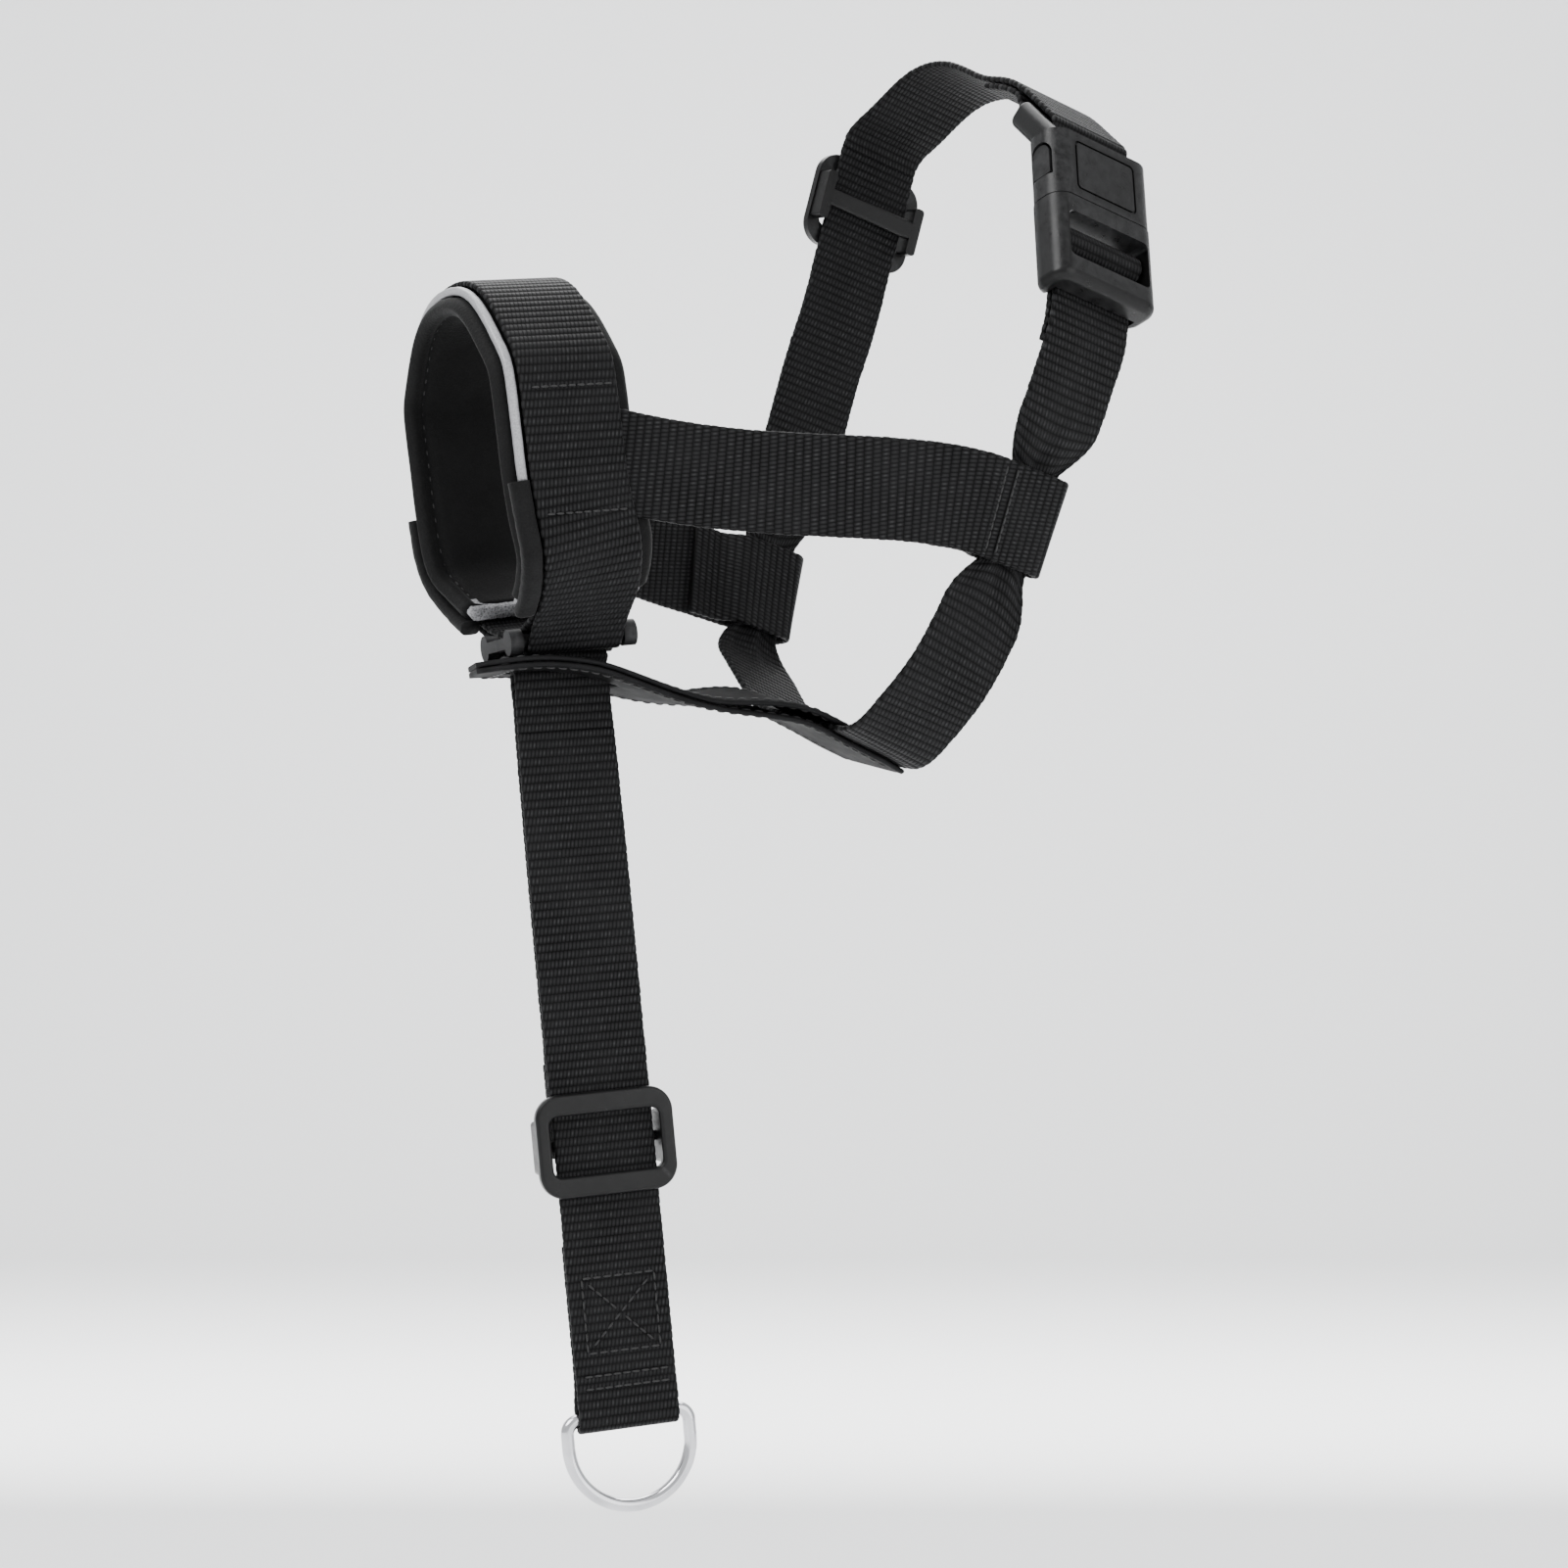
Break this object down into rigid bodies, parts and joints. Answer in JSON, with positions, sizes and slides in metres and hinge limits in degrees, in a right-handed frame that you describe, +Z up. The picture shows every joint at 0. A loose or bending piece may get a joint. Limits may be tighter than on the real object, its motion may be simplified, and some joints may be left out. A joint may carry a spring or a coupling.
{
  "type": "head halter",
  "caption": "Webbing head halter with a padded nose band, adjustable neck strap with side-release buckle, chin link and pad, and a leash strap ending in a welded ring.",
  "frame": {"origin": "centre of the muzzle opening inside the nose band", "axes": "+Z up, -Y towards the dog's nose, +Y towards its tail, +X to the dog's left"},
  "size_m": [0.1298, 0.1707, 0.3707],
  "materials": {
    "webbing": "black ribbed nylon webbing, slight sheen",
    "pad_cover": "black smooth knit facing",
    "foam": "grey closed-cell foam",
    "piping": "light grey reflective tape",
    "leather": "black smooth leather, satin",
    "plastic": "black moulded acetal, softly polished",
    "link_plastic": "dark grey moulded plastic",
    "thread": "black bonded thread",
    "chrome": "bright plated steel wire"
  },
  "bodies": {
    "halter": {"nose_strap": "webbing", "nose_pad_backing": "pad_cover", "nose_pad_foam": "foam", "nose_pad_lining": "pad_cover", "reflective_piping": "piping", "pad_edge_cover_left": "pad_cover", "pad_edge_cover_right": "pad_cover", "cheek_strap_left": "webbing", "cheek_strap_right": "webbing", "neck_strap": "webbing", "buckle_plug": "plastic", "chin_link": "link_plastic", "chin_pad_upper": "leather", "chin_pad_lower": "leather", "nose_stitching": "thread"},
    "neck_slider": {"neck_slider": "plastic"},
    "socket": {"buckle_socket": "plastic", "crown_strap": "webbing"},
    "latch_front": {"latch_arm_front": "plastic"},
    "latch_rear": {"latch_arm_rear": "plastic"},
    "leash": {"leash_return_strap": "webbing"},
    "leash_slider": {"leash_slider": "plastic"},
    "leash_tail": {"leash_strap": "webbing", "tail_stitching": "thread"},
    "ring": {"d_ring": "chrome"}
  },
  "joints": [
    {"name": "neck_slider_slide", "type": "slide", "parent": "halter", "child": "neck_slider", "axis": [0.1028, 0.2204, 0.97], "range_m": [-0.016, 0.002], "stiffness_N_per_m": 100},
    {"name": "buckle_release", "type": "slide", "parent": "halter", "child": "socket", "axis": [-0.3144, 0.1617, 0.9354], "range_m": [0, 0.026], "deforming": ["crown_strap", "latch_arm_front", "latch_arm_rear"]},
    {"name": "latch_rear_press", "type": "hinge", "parent": "halter", "child": "latch_rear", "pos_m": [0.05743, 0.13786, 0.05822], "axis": [0.9418, 0.1769, 0.286], "range_deg": [0, 8]},
    {"name": "latch_front_press", "type": "hinge", "parent": "halter", "child": "latch_front", "pos_m": [0.06014, 0.11572, 0.06296], "axis": [0.9418, 0.1769, 0.286], "range_deg": [-8, 0]},
    {"name": "leash_swing", "type": "hinge", "parent": "halter", "child": "leash", "pos_m": [0.0005, 0.0093, -0.052], "axis": [0.0527, 0.9926, 0.1097], "range_deg": [-60, 60], "deforming": ["leash_strap", "leash_return_strap"]},
    {"name": "leash_slider_slide", "type": "slide", "parent": "leash", "child": "leash_slider", "axis": [0, 0.1099, -0.9939], "range_m": [-0.045, 0.005], "stiffness_N_per_m": 100, "deforming": ["leash_return_strap", "leash_strap"]},
    {"name": "leash_tail_slide", "type": "slide", "parent": "leash", "child": "leash_tail", "axis": [0, 0.1099, -0.9939], "range_m": [-0.005, 0.045], "deforming": ["leash_strap", "leash_return_strap"]},
    {"name": "ring_swing", "type": "hinge", "parent": "leash_tail", "child": "ring", "pos_m": [-0.00105, 0.02959, -0.23196], "axis": [0.2433, 0.9641, 0.1066], "range_deg": [-120, 120]}
  ],
  "couplings": [
    {"joint": "leash_tail_slide", "follows": "leash_slider_slide", "ratio": -1}
  ]
}
